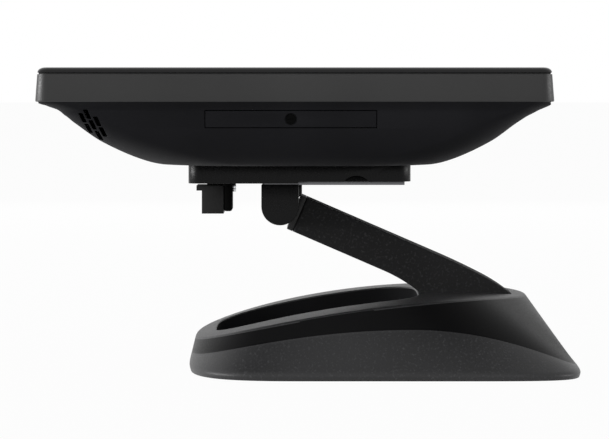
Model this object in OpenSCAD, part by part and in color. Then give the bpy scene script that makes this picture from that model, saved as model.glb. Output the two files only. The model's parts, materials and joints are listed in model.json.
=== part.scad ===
// Touchscreen terminal for a shop counter: a flat screen head on a tilting arm
// that rises from a low ring-shaped stand. Millimetres, +Z up, the operator
// stands on the -Y side and the table is at Z = 0.

/* [Screen head] */
// Width of the head, side to side
head_w = 366; // [350:1:420]
// Depth of the head, front edge to rear edge
head_d = 303.4; // [290:0.1:340]
// Height of the glass face above the table
head_top = 189.3; // [185:0.1:215]
// How far the head's centre sits in front of the stand's origin
head_forward = 12.5; // [5:0.5:25]
// Corner radius of the head in plan
head_corner = 8; // [5:0.5:14]
// Thickness of the touch glass
glass_t = 3.2; // [2:0.1:4]
// Thickness of the gasket under the glass
gasket_t = 0.8; // [0.4:0.1:1.5]
// Height of the bezel's side band
bezel_h = 16.1; // [14.5:0.1:20]
// Wall of the bezel's side band
bezel_wall = 2.8; // [2:0.1:4]
// Thickness of the bezel's face flange
flange_t = 2.4; // [1.5:0.1:3]
// Border at each side of the picture
side_border = 31; // [24:0.5:40]
// Border above and below the picture
end_border = 37.7; // [30:0.1:46]
// Thickness of the liquid crystal panel
panel_t = 10; // [7:0.5:11]
// Thickness of the steel chassis plate
chassis_t = 1.2; // [0.8:0.1:2]

/* [Rear cover] */
// Depth of the rear cover below the bezel
cover_drop = 38.6; // [36:0.1:50]
// Wall of the rear cover
cover_wall = 2.6; // [2:0.1:3.5]
// Step in from the bezel's band to the cover
cover_step = 1.2; // [0.5:0.1:2]
// Plan length of the front slope
front_run = 70; // [55:0.5:78]
// Plan length of the rear slope
rear_run = 67.5; // [60:0.1:78]
// Inward turn of each side just under the bezel
side_lip = 5.5; // [3:0.5:8]
// Plan length of each side's lower rounding
side_run = 36; // [25:1:50]
// Corner radius at the cover's upper edge
cover_corner = 12; // [8:1:20]
// Growth of the corner radius down to the flat
corner_growth = 44; // [20:1:50]
// Width of the connector bay under the rear slope
bay_w = 160; // [140:1:180]
// Depth of the connector bay, front to rear
bay_d = 46; // [40:1:60]
// Height of the connector bay's ceiling above the cover's flat
bay_h = 20; // [18:0.5:22]

/* [Drive bay] */
// Length of the drive door
door_w = 100; // [96:0.5:110]
// Height of the drive door
door_h = 9.6; // [9.4:0.1:11]
// Drop from the bezel's lower edge to the door
door_drop = 5.4; // [4.5:0.1:6]
// Distance of the door's middle in front of the stand's origin
door_forward = 14.8; // [10:0.2:24]
// Groove around the door
door_gap = 0.5; // [0.3:0.1:1]
// Radius of the door's thumb screw
thumb_r = 2.1; // [1.8:0.1:3]

/* [Tilt mount] */
// Width of the mount cover
mount_w = 130; // [124:1:150]
// Length of the mount cover, front to rear
mount_d = 138.4; // [130:0.2:150]
// Thickness of the mount cover
mount_t = 12.8; // [10:0.2:16]
// Distance of the mount cover's middle in front of the origin
mount_forward = 9.9; // [8:0.1:16]
// Corner radius of the mount cover in plan
mount_corner = 8.5; // [5:0.5:14]
// Wall of the mount cover
mount_wall = 2.4; // [1.8:0.1:3.5]
// Depth of the tilt bracket's seat in the mount cover
seat_depth = 1.2; // [0.6:0.1:2]
// Thickness of the steel tilt bracket
bracket_t = 2.5; // [2:0.1:3]
// Width of the tilt bracket's plate
bracket_w = 100; // [96:1:112]
// Distance of the tilt axis in front of the origin
tilt_forward = 22.2; // [18:0.2:28]
// Drop from the bracket's plate to the tilt axis
tilt_drop = 14.1; // [13.6:0.1:16]
// Radius of the hinge covers
ear_r = 11.8; // [11.4:0.1:12.6]
// Width of each hinge cover
ear_w = 13.5; // [12.5:0.5:18]
// Radius of the tilt shaft
shaft_r = 5; // [4:0.25:6]
// Radial clearance between the tilt shaft and its bores
shaft_fit = 0.05; // [0.02:0.01:0.09]

/* [Arm] */
// Width of the arm
arm_w = 44; // [40:0.5:50]
// Thickness of the arm, square to its length
arm_t = 23; // [21:0.2:26]
// Dip of the arm below level, in degrees
arm_dip = 23.4; // [22:0.1:25]
// Length of the straight top edge
arm_straight = 92; // [88:0.5:98]
// Wall of the arm's plastic shells
arm_wall = 2.4; // [1.8:0.1:3]

/* [Stand] */
// Width of the stand at the table
stand_w = 248; // [236:1:260]
// Reach of the stand in front of the origin
stand_front = 80; // [77:1:92]
// Reach of the stand behind the origin
stand_rear = 164.2; // [160:0.1:175]
// Width of the stand's upper edge
rim_w = 215; // [205:1:225]
// Height of the rim at the rear
rim_rear_h = 46.8; // [45:0.1:50]
// Height of the rim at the front
rim_front_h = 19.7; // [18:0.1:24]
// Width of the well inside the ring
well_w = 136; // [120:1:144]
// Wall of the stand's shell
stand_wall = 2.8; // [2:0.1:4]
// Height of the side crease at its highest
crease_h = 30; // [26:0.5:32]
// Thickness of the steel base plate
plate_t = 3; // [2:0.5:4]
// Thickness of the ballast
ballast_t = 9; // [5:0.5:9.5]
// Radius of the rubber feet
foot_r = 9; // [7:0.5:10]
// Height of the shell's lower edge above the table
stand_lift = 0.8; // [0.6:0.1:2]

/* [Hidden] */
$fa = 6;
$fs = 0.6;
eps = 0.01;
part_gap = 0.25;   // clearance between neighbouring mouldings
slide_gap = 0.2;   // clearance of sliding guides
screw_gap = 0.1;   // radial clearance of screws in their holes

// Heights of the head's layers
glass_z = head_top - glass_t;
gasket_z = glass_z - gasket_t;
bezel_z = gasket_z - bezel_h;
panel_z = gasket_z - flange_t - panel_t;
chassis_z = panel_z - chassis_t;
cover_z = bezel_z - cover_drop;
floor_z = cover_z + cover_wall;
head_y = -head_forward;
picture_w = head_w - 2 * side_border;
picture_h = head_d - 2 * end_border;
window_w = picture_w + 6;
window_h = picture_h + 6;
panel_w = window_w + 16;
panel_h = window_h + 20;

// Rear cover
cover_w = head_w - 2 * cover_step;
cover_d = head_d - 2 * cover_step;
bay_y = head_y + cover_d / 2 - rear_run + 2.5;
bay_top = cover_z + bay_h;
boss_x = 100;
boss_y = cover_d / 2 - 11.8;
boss_r = 5.5;
cover_screw_r = 1.5;
cover_head_r = 3.2;
cover_head_z = chassis_z - 8;

// Electronics
board_w = 170;
board_d = 118;
board_t = 1.6;
memory_l = 67.6;
memory_w = 30;
memory_socket_w = 8;
sink_side = 60;
sink_base = 4;
fins = 10;
fin_t = 2.4;
speaker_w = 28;
speaker_l = 40;
speaker_h = 16;
board_x = -30;
board_y = bay_y - 4 - board_d / 2;
board_z = bay_top - 0.6;
backing_t = 2;
backing_w = 122;
backing_d = 104;

// Drive bay
door_z = bezel_z - door_drop - door_h;
door_y = -door_forward;
drive_w = 69.85;
drive_l = 100;
drive_t = 7;
tray_t = 1;
tray_w = drive_w + 2 * tray_t + 1;
tray_z = door_z + 0.8;
tray_x = cover_w / 2 - 6;
tray_front = cover_w / 2 - side_in((bezel_z - door_z) / cover_drop) - cover_wall - 1.2;
cage_t = 1.2;
cage_l = drive_l + 12;
cage_front = tray_front - 0.6;
thumb_l = 9;
thumb_x = cover_w / 2 - side_in((bezel_z - door_z - door_h / 2) / cover_drop);

// Tilt mount
mount_z = cover_z - mount_t;
mount_y = -mount_forward;
bracket_z = mount_z + seat_depth - bracket_t;
bracket_front = -tilt_forward + ear_r;
bracket_rear = mount_y + mount_d / 2 - 3.5;
tilt_y = -tilt_forward;
tilt_z = bracket_z - tilt_drop;
washer_t = 1.8;
lug_t = 3;
lug_r = ear_r - 1.6;
barrel_w = arm_w - 0.4;
lug_x = barrel_w / 2 + washer_t + 0.2;
spring_x = lug_x + lug_t + 0.1;
spring_t = 2.4;
nut_x = spring_x + spring_t + 0.1;
nut_t = 3.6;
shaft_end = nut_x + nut_t + 0.6;
neck_w = 2 * (lug_x + ear_w + 1);
fin_reach = 13.8;
mount_screw_r = 2;
mount_screw_head_r = 3.6;
mount_screw_head_h = 1.5;
mount_screw_x = 40;
mount_screw_y = [tilt_y + ear_r + 7, bracket_rear - 16];
plug_r = 9.7;
plug_y = 25.4;
plug_sink = 6.3;   // depth of the plug's centre below the cover's seat

// Release latch
latch_w = 30;
latch_y = -58.4;
latch_d = 13.8;
latch_top = mount_z - 2.8;
latch_bottom = mount_z - 20.7;
rail_w = 16;
rail_t = 3.2;
rail_z = mount_z - 9.4;
spring_r = 2.6;

// Arm: its middle line passes a little under the tilt axis
arm_offset = 0.3;
arm_start = 13.6;
collar_start = 9.7;
low_straight = 76.5;
low_r = 100;
easy_r = 450;
firm_r = 110;
tight_r = 8;
barrel_r = 10.2;
root_z = rim_rear_h - 11;

// Stand
ray_y = 7.2;       // centre of the rays that the stand's outlines are drawn on
rays = 96;
ray_step = 360 / rays;
well_front = 70;
well_rear = 58;
rim_front = stand_front - 3.8;
rim_rear = stand_rear - 30;
crest_y = 100.2;
crest_fall = pow(crest_y + rim_front, 2) / (rim_rear_h - rim_front_h);
crease_y = 57;
crease_knee = 4;
skirt_h = 3;       // height of the steep foot of the skirt
skirt_lean = 1.2;  // how far that foot leans in at its lower edge
deck_rise = 0.8;   // how much higher the deck is at the well than at its outer edge
plate_z = stand_lift + 0.2;
plate_top = plate_z + plate_t;
foot_h = 2.4;
foot_front = 52;
foot_back = 136;
foot_x = 80;
root_bolt_r = 3;
root_bolt_head_r = 5.2;
root_bolt_x = 10;
root_bolt_y = [86, 114];
post_r = 4.5;
post_screw_r = 1.6;
posts = [[-86, -33], [86, -33], [-86, 66], [86, 66], [-36, 110], [36, 110]];
ballast_w = 22;
ballast_l = 84;
ballast_y = 15;

// ---- shared shapes ----

// Corner points of a rounded rectangle, anticlockwise
function rounded_loop(w, d, r, cy, steps) = [
    for (q = [0:3])
    for (i = [0:steps])
        let (a = 90 * q + 90 * i / steps)
        let (sx = (q == 0 || q == 3) ? 1 : -1)
        let (sy = q < 2 ? 1 : -1)
        [sx * (w / 2 - r) + r * cos(a), cy + sy * (d / 2 - r) + r * sin(a)]
];

// A solid through a stack of loops that all have the same number of points:
// seen from the first loop's side, each loop runs anticlockwise
module loft(loops) {
    m = len(loops[0]);
    last = len(loops) - 1;
    sides = [
        for (k = [0:last - 1])
        for (i = [0:m - 1])
            let (j = (i + 1) % m)
            each [
                [k * m + i, (k + 1) * m + j, (k + 1) * m + i],
                [k * m + i, k * m + j, (k + 1) * m + j]
            ]
    ];
    first_cap = [[for (i = [0:m - 1]) m - 1 - i]];
    last_cap = [[for (i = [0:m - 1]) last * m + i]];
    polyhedron([for (l = loops) each l], concat(first_cap, sides, last_cap), 4);
}

// A closed ring: each section is a loop, and the last section joins the first
module ring_loft(sections) {
    n = len(sections);
    m = len(sections[0]);
    faces = [
        for (k = [0:n - 1])
        for (i = [0:m - 1])
            let (j = (i + 1) % m)
            let (l = (k + 1) % n)
            each [
                [k * m + i, k * m + j, l * m + j],
                [k * m + i, l * m + j, l * m + i]
            ]
    ];
    polyhedron([for (s = sections) each s], faces, 4);
}

// Keeps a moulded skin and its cut-outs together as one smooth surface
module moulding() {
    resize([0, 0, 0]) children();
}

module plate(w, d, h, r) {
    linear_extrude(h) rounded(w, d, r);
}

module rounded(w, d, r) {
    polygon(rounded_loop(w, d, r, 0, 8));
}

// A bar along X, centred on it, with its axis at the given place
module bar_x(r, x0, x1) {
    translate([x0, 0, 0]) rotate([0, 90, 0]) cylinder(r = r, h = x1 - x0, $fn = 48);
}

// A screw standing on its head, pointing up
module screw(head_r, head_h, shank_r, shank_h, drive_r) {
    difference() {
        union() {
            cylinder(r = head_r, h = head_h, $fn = 32);
            translate([0, 0, head_h]) cylinder(r = shank_r, h = shank_h, $fn = 24);
        }
        translate([0, 0, -1]) cylinder(r = drive_r, h = head_h * 0.55 + 1, $fn = 6);
    }
}

// ---- screen head ----

module touch_glass() {
    color([0.03, 0.03, 0.035])
    translate([0, head_y, glass_z])
    plate(head_w - 0.6, head_d - 0.6, glass_t, head_corner - 0.3);
}

module glass_gasket() {
    color([0.1, 0.1, 0.1])
    translate([0, head_y, gasket_z])
    difference() {
        plate(head_w - 4, head_d - 4, gasket_t, head_corner - 2);
        translate([0, 0, -1]) plate(window_w + 4, window_h + 4, gasket_t + 2, 4);
    }
}

module front_bezel() {
    color([0.2, 0.2, 0.21])
    difference() {
        union() {
            translate([0, head_y, bezel_z])
            difference() {
                plate(head_w, head_d, bezel_h, head_corner);
                translate([0, 0, -1])
                plate(
                    head_w - 2 * bezel_wall,
                    head_d - 2 * bezel_wall,
                    bezel_h - flange_t + 1,
                    head_corner - bezel_wall
                );
                translate([0, 0, bezel_h - flange_t - 1]) plate(window_w, window_h, flange_t + 2, 3);
            }
            for_bosses() translate([0, 0, chassis_z + chassis_t]) {
                cylinder(r = boss_r - 1, h = panel_t + eps, $fn = 32);
            }
        }
        for_bosses() translate([0, 0, chassis_z]) {
            cylinder(r = cover_screw_r + screw_gap, h = panel_t, $fn = 24);
        }
    }
}

module for_bosses() {
    for (sx = [-1, 1], sy = [-1, 1]) {
        translate([sx * boss_x, head_y + sy * boss_y, 0]) children();
    }
}

module lcd_panel() {
    color([0.55, 0.56, 0.58])
    translate([0, head_y, panel_z])
    plate(panel_w, panel_h, panel_t, 2);
}

module chassis_plate() {
    color([0.6, 0.61, 0.62])
    difference() {
        union() {
            translate([0, head_y, chassis_z]) plate(cover_w - 22, cover_d - 10, chassis_t, 6);
            for_standoffs() {
                translate([0, 0, board_z + board_t])
                cylinder(r = 3, h = chassis_z - board_z - board_t + eps, $fn = 32);
            }
        }
        for_bosses() translate([0, 0, chassis_z - 1]) {
            cylinder(r = cover_screw_r + screw_gap, h = chassis_t + 2, $fn = 24);
        }
        for_standoffs() translate([0, 0, board_z]) cylinder(r = 1.3, h = 8, $fn = 24);
    }
}

module for_standoffs() {
    for (sx = [-1, 1], sy = [-1, 1]) {
        translate([board_x + sx * (board_w / 2 - 6), board_y + sy * (board_d / 2 - 6), 0]) children();
    }
}

module mainboard() {
    color([0.05, 0.25, 0.12])
    difference() {
        translate([board_x, board_y, board_z]) plate(board_w, board_d, board_t, 2);
        for_standoffs() translate([0, 0, board_z - 1]) cylinder(r = 1.6, h = board_t + 2, $fn = 24);
    }
}

module processor_heatsink() {
    fin_h = board_z - floor_z - backing_t - sink_base - 1.5;
    color([0.72, 0.73, 0.75])
    translate([board_x - board_w / 2 + 35, board_y - sink_side / 2, board_z - sink_base]) {
        cube([sink_side, sink_side, sink_base]);
        for (i = [0:fins - 1]) {
            translate([i * (sink_side - fin_t) / (fins - 1), 0, -fin_h])
            cube([fin_t, sink_side, fin_h + eps]);
        }
    }
}

module memory_module() {
    color([0.06, 0.28, 0.14])
    translate([board_x + board_w / 2 - 25, board_y - memory_l / 2, board_z - 5]) {
        translate([-memory_w, 0, 0]) cube([memory_w, memory_l, 1.2]);
        translate([-memory_socket_w, -2, 0]) cube([memory_socket_w, memory_l + 4, 5]);
    }
}

// Sockets along the bay's wall: place, width, height and opening of each
sockets = [
    [-58, 12, 11, 7],
    [-36, 17, 14, 12],
    [-12, 15, 16, 12],
    [10, 15, 16, 12],
    [36, 26, 12, 18],
    [62, 14, 12, 10]
];

module io_ports() {
    color([0.35, 0.36, 0.38])
    for (s = sockets) {
        translate([s[0], bay_y, board_z]) {
            difference() {
                translate([-s[1] / 2, -16, -s[2]]) cube([s[1], 17, s[2]]);
                translate([-s[3] / 2, -8, -s[2] + 2]) cube([s[3], 12, s[2] - 4]);
            }
        }
    }
}

module io_bracket() {
    color([0.62, 0.63, 0.65])
    difference() {
        translate([-bay_w / 2 + 3, bay_y - 1.2, cover_z + 3]) cube([bay_w - 6, 1, bay_h - 4]);
        for (s = sockets) {
            translate([s[0] - s[1] / 2 - part_gap, bay_y - 2, board_z - s[2] - part_gap]) {
                cube([s[1] + 2 * part_gap, 4, s[2] + 2 * part_gap + 2]);
            }
        }
    }
}

module speaker(side) {
    face = speaker_w / 2;
    color([0.08, 0.08, 0.08])
    translate([side * (cover_w / 2 - 45), head_y - cover_d / 2 + 50, chassis_z - speaker_h]) {
        difference() {
            translate([-face, -speaker_l / 2, 0]) cube([speaker_w, speaker_l, speaker_h]);
            translate([side * (face - 3), 0, speaker_h / 2])
            rotate([0, side * 90, 0]) cylinder(r = 6.5, h = 6, $fn = 32);
        }
        translate([side * (face - 4), 0, speaker_h / 2]) {
            rotate([0, side * 90, 0]) cylinder(r1 = 2.5, r2 = 6, h = 3, $fn = 32);
        }
    }
}

module speaker_right() {
    speaker(1);
}

module speaker_left() {
    speaker(-1);
}

// How far down the cover has come at a share s of its slope's run
function slope(s) = 1 - pow(1 - s, 1.39) - 0.048 * sin(180 * min(s / 0.46, 1));

// How far in a side has come at a share d of the cover's depth
function side_in(d) =
    side_lip * sin(90 * min(d / 0.16, 1)) + side_run * (1 - pow(1 - pow(d, 2.2), 1 / 2.2));

cover_levels = [0, 0.04, 0.08, 0.13, 0.18, 0.24, 0.3, 0.37, 0.45, 0.54, 0.63, 0.72, 0.82, 0.91, 1];

// The cover's solid form, drawn in by the given amount
module cover_form(inset) {
    top = inset > 0 ? 1 : 0;
    loops = [
        for (s = cover_levels)
            let (d = slope(s))
            let (z = bezel_z - d * (cover_drop - inset) + (s == 0 ? top : 0))
            let (w = cover_w - 2 * inset - 2 * side_in(d))
            let (depth = cover_d - 2 * inset - (front_run + rear_run) * s)
            let (cy = head_y + (front_run - rear_run) * s / 2)
            let (r = max(cover_corner - inset, 2) + corner_growth * s)
            [for (p = rounded_loop(w, depth, r, cy, 9)) [p[0], p[1], z]]
    ];
    loft(loops);
}

module vent_slots() {
    across = [2.9, 2.1];
    fall = [2.9, -6.3];
    first = [head_y - cover_d / 2 + 26.2, bezel_z - 9.4];
    for (row = [0:2]) {
        for (i = [(row == 2 ? 1 : 0):(row == 0 ? 1 : 2)]) {
            at = first + i * across + row * fall;
            translate([cover_w / 2 - 40, at[0], at[1]])
            rotate([90, 0, 90])
            linear_extrude(60)
            polygon([[-2.5, 2.8], [0.2, 2.8], [2.5, -2.8], [-0.2, -2.8]]);
        }
    }
}

module bay_box(grow, reach) {
    translate([-bay_w / 2 - grow, bay_y - grow, cover_z - 20]) {
        cube([bay_w + 2 * grow, bay_d + reach, bay_h + 20 + grow]);
    }
}

module rear_cover() {
    color([0.09, 0.09, 0.095])
    moulding()
    difference() {
        union() {
            difference() {
                cover_form(0);
                difference() {
                    cover_form(cover_wall);
                    bay_box(cover_wall, cover_wall);
                    for_bosses() translate([0, 0, cover_z])
                    cylinder(r = boss_r, h = cover_drop + 2, $fn = 32);
                }
            }
            for_bosses() translate([0, 0, bezel_z - 1])
            cylinder(r = boss_r, h = chassis_z - bezel_z + 1, $fn = 32);
        }
        bay_box(0, 0);
        for (s = sockets) {
            translate([s[0] - s[1] / 2 - part_gap, bay_y - cover_wall - 1, board_z - s[2] - part_gap]) {
                cube([s[1] + 2 * part_gap, cover_wall + 2, s[2] + part_gap + 3]);
            }
        }
        translate([-bay_w / 2 + 3 - part_gap, bay_y - 1.2 - part_gap, cover_z - 1]) {
            cube([bay_w - 6 + 2 * part_gap, 4, bay_h]);
        }
        for_bosses() {
            translate([0, 0, cover_z - 1]) {
                rotate(4) cylinder(r = cover_head_r + 0.4, h = cover_head_z - cover_z + 4, $fn = 32);
            }
            translate([0, 0, cover_z]) cylinder(r = cover_screw_r + screw_gap, h = cover_drop + 9, $fn = 24);
        }
        for_mount_screws() translate([0, 0, cover_z - 1]) cylinder(r = mount_screw_r + 0.3, h = 6, $fn = 24);
        translate([0, door_y - door_w / 2 - door_gap, door_z - door_gap]) {
            cube([head_w, door_w + 2 * door_gap, door_h + 2 * door_gap]);
        }
        translate([-head_w / 2, button_y, button_z]) bar_x(button_r + 0.35, 0, 30);
        vent_slots();
        mirror([1, 0, 0]) vent_slots();
    }
}

module cover_screw(i) {
    sx = i % 2 == 0 ? -1 : 1;
    sy = i < 2 ? -1 : 1;
    color([0.3, 0.3, 0.31])
    translate([sx * boss_x, head_y + sy * boss_y, cover_head_z]) {
        screw(cover_head_r, 3, cover_screw_r, 12, 1.4);
    }
}

// ---- power button ----

button_r = 5;
button_y = -60;
button_z = bezel_z - 11;
button_x = -cover_w / 2 + side_in(11 / cover_drop);
button_rim = cover_wall + 3.2;
button_travel = 1.5;

module power_button() {
    color([0.25, 0.25, 0.26])
    translate([button_x, button_y, button_z]) {
        difference() {
            union() {
                bar_x(button_r, -0.8, button_rim + 1);
                bar_x(button_r + 1.5, button_rim, button_rim + 1.6);
            }
            bar_x(3.2, -1.4, -0.4);
        }
    }
}

module power_switch() {
    color([0.05, 0.25, 0.12])
    translate([button_x, button_y, button_z]) {
        translate([button_rim + 1.8 + button_travel, -3, -3]) cube([3.5 + eps, 6, 6]);
        translate([button_rim + 5.3 + button_travel, -14, -7]) cube([1.6, 28, chassis_z - button_z + 7]);
    }
}

// ---- drive bay ----

module drive_cage() {
    cage_z = tray_z - slide_gap - cage_t;
    half = tray_w / 2 + slide_gap;
    length = cage_front - tray_x + cage_l;
    color([0.6, 0.61, 0.62])
    translate([tray_x - cage_l, door_y, 0]) {
        difference() {
            union() {
                translate([0, -half - cage_t, cage_z]) cube([length, 2 * half + 2 * cage_t, cage_t]);
                for (s = [-1, 1]) {
                    y0 = s > 0 ? half : -half - cage_t;
                    translate([0, y0, cage_z]) cube([length, cage_t, chassis_z - cage_z]);
                }
                translate([0, -half, cage_z]) cube([cage_t, 2 * half, 9]);
            }
            for (i = [0:4]) {
                translate([16 + i * 18, -half + 8, cage_z - 1]) cube([9, 2 * half - 16, cage_t + 2]);
            }
        }
    }
}

module drive_door() {
    color([0.09, 0.09, 0.095])
    moulding()
    difference() {
        intersection() {
            difference() {
                cover_form(0);
                difference() {
                    cover_form(cover_wall);
                    for (s = [-1, 1]) {
                        translate([tray_front, door_y + s * 30 - 3, door_z]) cube([20, 6, door_h]);
                    }
                }
            }
            translate([0, door_y - door_w / 2, door_z]) cube([head_w, door_w, door_h]);
        }
        translate([0, door_y, door_z + door_h / 2]) {
            bar_x(thumb_r + screw_gap, 0, head_w);
            bar_x(thumb_r + 1.1, thumb_x - 1.6, head_w);
        }
    }
}

module drive_tray() {
    color([0.62, 0.63, 0.65])
    difference() {
        translate([tray_x - cage_l + cage_t + 0.5, door_y - tray_w / 2, tray_z]) {
            length = tray_front - (tray_x - cage_l + cage_t + 0.5);
            cube([length, tray_w, tray_t]);
            cube([length, tray_t, 5.5]);
            translate([0, tray_w - tray_t, 0]) cube([length, tray_t, 5.5]);
            translate([length - tray_t, 0, 0]) cube([tray_t, tray_w, 7.6]);
        }
        translate([0, door_y, door_z + door_h / 2])
        bar_x(thumb_r + screw_gap, tray_front - 4, tray_front + 4);
    }
}

module ssd_drive() {
    color([0.2, 0.21, 0.23])
    translate([tray_x - drive_l - 7.6, door_y - drive_w / 2, tray_z + tray_t]) {
        cube([drive_l - 4, drive_w, drive_t]);
    }
}

module door_thumbscrew() {
    color([0.3, 0.3, 0.31])
    translate([thumb_x, door_y, door_z + door_h / 2]) {
        difference() {
            union() {
                bar_x(thumb_r, -thumb_l, -1.4);
                bar_x(thumb_r + 0.9, -1.5, -0.3);
            }
            translate([-0.9, -thumb_r * 0.9, -0.35]) cube([2, thumb_r * 1.8, 0.7]);
        }
    }
}

// ---- tilt mount ----

module for_mount_screws() {
    for (sx = [-1, 1], y = mount_screw_y) {
        translate([sx * mount_screw_x, y, 0]) children();
    }
}

module backing_plate() {
    color([0.6, 0.61, 0.62])
    difference() {
        translate([0, mount_y, floor_z]) plate(backing_w, backing_d, backing_t, 4);
        for_mount_screws() translate([0, 0, floor_z - 1])
        cylinder(r = mount_screw_r + screw_gap, h = backing_t + 2, $fn = 24);
    }
}

module vesa_plate() {
    color([0.6, 0.61, 0.62])
    difference() {
        translate([0, mount_y, cover_z - 3])
        plate(mount_w - 2 * mount_wall - 2, mount_d - 2 * mount_wall - 2, 3, 6);
        for_mount_screws() translate([0, 0, cover_z - 4])
        cylinder(r = mount_screw_r + screw_gap, h = 5, $fn = 24);
    }
}

// The cover is shallower from the bracket's front edge rearwards, where the bracket lies in its seat
module mount_cover() {
    inner_w = mount_w - 2 * mount_wall;
    inner_d = mount_d - 2 * mount_wall;
    floor_t = mount_wall + seat_depth;
    color([0.12, 0.12, 0.125])
    difference() {
        union() {
            translate([0, mount_y, mount_z]) difference() {
                plate(mount_w, mount_d, mount_t, mount_corner);
                translate([0, 0, floor_t]) plate(inner_w, inner_d, mount_t, mount_corner - mount_wall);
            }
            for_mount_screws() translate([0, 0, mount_z + 1]) cylinder(r = 5, h = mount_t - 4, $fn = 32);
        }
        for_mount_screws() translate([0, 0, mount_z - 1])
        cylinder(r = mount_screw_r + screw_gap, h = mount_t + 2, $fn = 24);
        translate([-mount_w, bracket_front - part_gap, mount_z - 1])
        cube([2 * mount_w, mount_d, 1 + seat_depth]);
        translate([-neck_w / 2 - part_gap, tilt_y - lug_r - part_gap, mount_z - 1]) {
            cube([neck_w + 2 * part_gap, lug_r + ear_r, 1 + seat_depth]);
        }
        plug_form(plug_r + part_gap, -1, 1);
    }
}

// The round segment that closes the gap in the cover's side, from the given reach below the seat
module plug_form(r, low, proud) {
    intersection() {
        translate([mount_w / 2, plug_y, mount_z + seat_depth - plug_sink])
        bar_x(r, -mount_wall - proud, proud);
        translate([mount_w / 2 - mount_wall - proud, plug_y - r, mount_z + seat_depth + low]) {
            cube([mount_wall + 2 * proud, 2 * r, r]);
        }
    }
}

module mount_cover_plug() {
    color([0.13, 0.13, 0.135]) plug_form(plug_r, 0, 0);
}

module tilt_bracket() {
    color([0.62, 0.63, 0.65])
    difference() {
        union() {
            translate([-bracket_w / 2, bracket_front, bracket_z])
            cube([bracket_w, bracket_rear - bracket_front, bracket_t]);
            translate([-neck_w / 2, tilt_y - lug_r, bracket_z])
            cube([neck_w, lug_r + ear_r + eps, bracket_t]);
            for (s = [-1, 1]) {
                x0 = s > 0 ? lug_x : -lug_x - lug_t;
                translate([0, tilt_y, tilt_z]) bar_x(lug_r, x0, x0 + lug_t);
                translate([x0, tilt_y - lug_r, tilt_z]) cube([lug_t, 2 * lug_r, tilt_drop + eps]);
            }
        }
        translate([0, tilt_y, tilt_z]) bar_x(shaft_r + shaft_fit, -ear_w - arm_w, ear_w + arm_w);
        for_mount_screws() translate([0, 0, bracket_z - 1])
        cylinder(r = mount_screw_r + screw_gap, h = bracket_t + 2, $fn = 24);
        for_mount_screws() translate([0, 0, bracket_z - 1]) {
            cylinder(r = mount_screw_head_r + screw_gap, h = mount_screw_head_h + 1.1, $fn = 32);
        }
        translate([-9, bracket_front + 12, bracket_z - 1]) cube([18, 26, bracket_t + 2]);
    }
}

module mount_screw(i) {
    sx = i % 2 == 0 ? -1 : 1;
    y = mount_screw_y[i < 2 ? 0 : 1];
    shank = bracket_t - mount_screw_head_h + mount_t - seat_depth + cover_wall + backing_t + 1;
    color([0.3, 0.3, 0.31])
    translate([sx * mount_screw_x, y, bracket_z + 0.1]) {
        screw(mount_screw_head_r, mount_screw_head_h, mount_screw_r, shank, 1.6);
    }
}

// A hinge cover is a cup over the lug's outer side, open towards the arm, with a fin behind it
module hinge_cover(side) {
    x0 = lug_x + 0.1;
    x1 = x0 + ear_w;
    inner_r = lug_r + 0.1;
    color([0.12, 0.12, 0.125])
    translate([0, tilt_y, tilt_z])
    mirror([side > 0 ? 0 : 1, 0, 0])
    difference() {
        union() {
            bar_x(ear_r, x0, x1);
            translate([x0, -ear_r, 0]) cube([ear_w, 2 * ear_r, tilt_drop]);
            translate([x0, 0, 6]) cube([2, fin_reach, tilt_drop - 6]);
        }
        bar_x(inner_r, x0 - 1, x1 - 2);
        translate([x0 - 1, -inner_r, 0]) cube([ear_w - 1, 2 * inner_r, tilt_drop + 1]);
    }
}

module hinge_cover_right() {
    hinge_cover(1);
}

module hinge_cover_left() {
    hinge_cover(-1);
}

// ---- release latch ----

module latch_housing() {
    color([0.1, 0.1, 0.105]) {
        translate([-latch_w / 2, latch_y + part_gap, latch_bottom + 1.5]) {
            cube([latch_w, 5.2, mount_z - latch_bottom - 1.5]);
        }
        translate([-rail_w / 2 + 2.5, latch_y - latch_d + 3, rail_z + rail_t]) {
            cube([rail_w - 5, latch_d - 3 + 1, mount_z - rail_z - rail_t]);
        }
        translate([-rail_w / 2, latch_y - latch_d + 3, rail_z])
        cube([rail_w, latch_d - 3 + 1, rail_t + eps]);
    }
}

module release_latch() {
    color([0.17, 0.17, 0.175])
    translate([0, latch_y, 0])
    difference() {
        union() {
            translate([-latch_w / 2, -latch_d, latch_bottom])
            cube([latch_w, latch_d, latch_top - latch_bottom - 3]);
            translate([-latch_w / 2, -latch_d - 3.4, latch_top - 3.2]) cube([latch_w, latch_d + 3.4, 3.2]);
        }
        translate([-rail_w / 2 - slide_gap, -latch_d + 2.5, rail_z - slide_gap]) {
            cube([rail_w + 2 * slide_gap, latch_d, rail_t + 2 * slide_gap]);
        }
        translate([-rail_w / 2 + 2.5 - slide_gap, -latch_d + 2.5, rail_z]) {
            cube([rail_w - 5 + 2 * slide_gap, latch_d, 20]);
        }
        translate([0, -latch_d + 3, latch_bottom + 6])
        rotate([-90, 0, 0]) cylinder(r = spring_r + 0.6, h = latch_d, $fn = 24);
    }
}

module latch_spring() {
    wire = 0.35;
    turns = 6;
    steps = 14;
    length = latch_d - 3 - 0.3;
    mid = spring_r - wire;
    lift = [for (k = [0:turns * steps]) wire + (length - 2 * wire) * k / (turns * steps)];
    sections = [
        for (k = [0:turns * steps])
            let (a = 360 * k / steps)
            [for (j = [0:5])
                let (b = 60 * j)
                let (r = mid + wire * cos(b))
                [r * cos(a), r * sin(a), lift[k] + wire * sin(b)]]
    ];
    color([0.7, 0.7, 0.72])
    translate([0, latch_y + 0.1, latch_bottom + 6])
    rotate([90, 0, 0])
    loft(sections);
}

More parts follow.
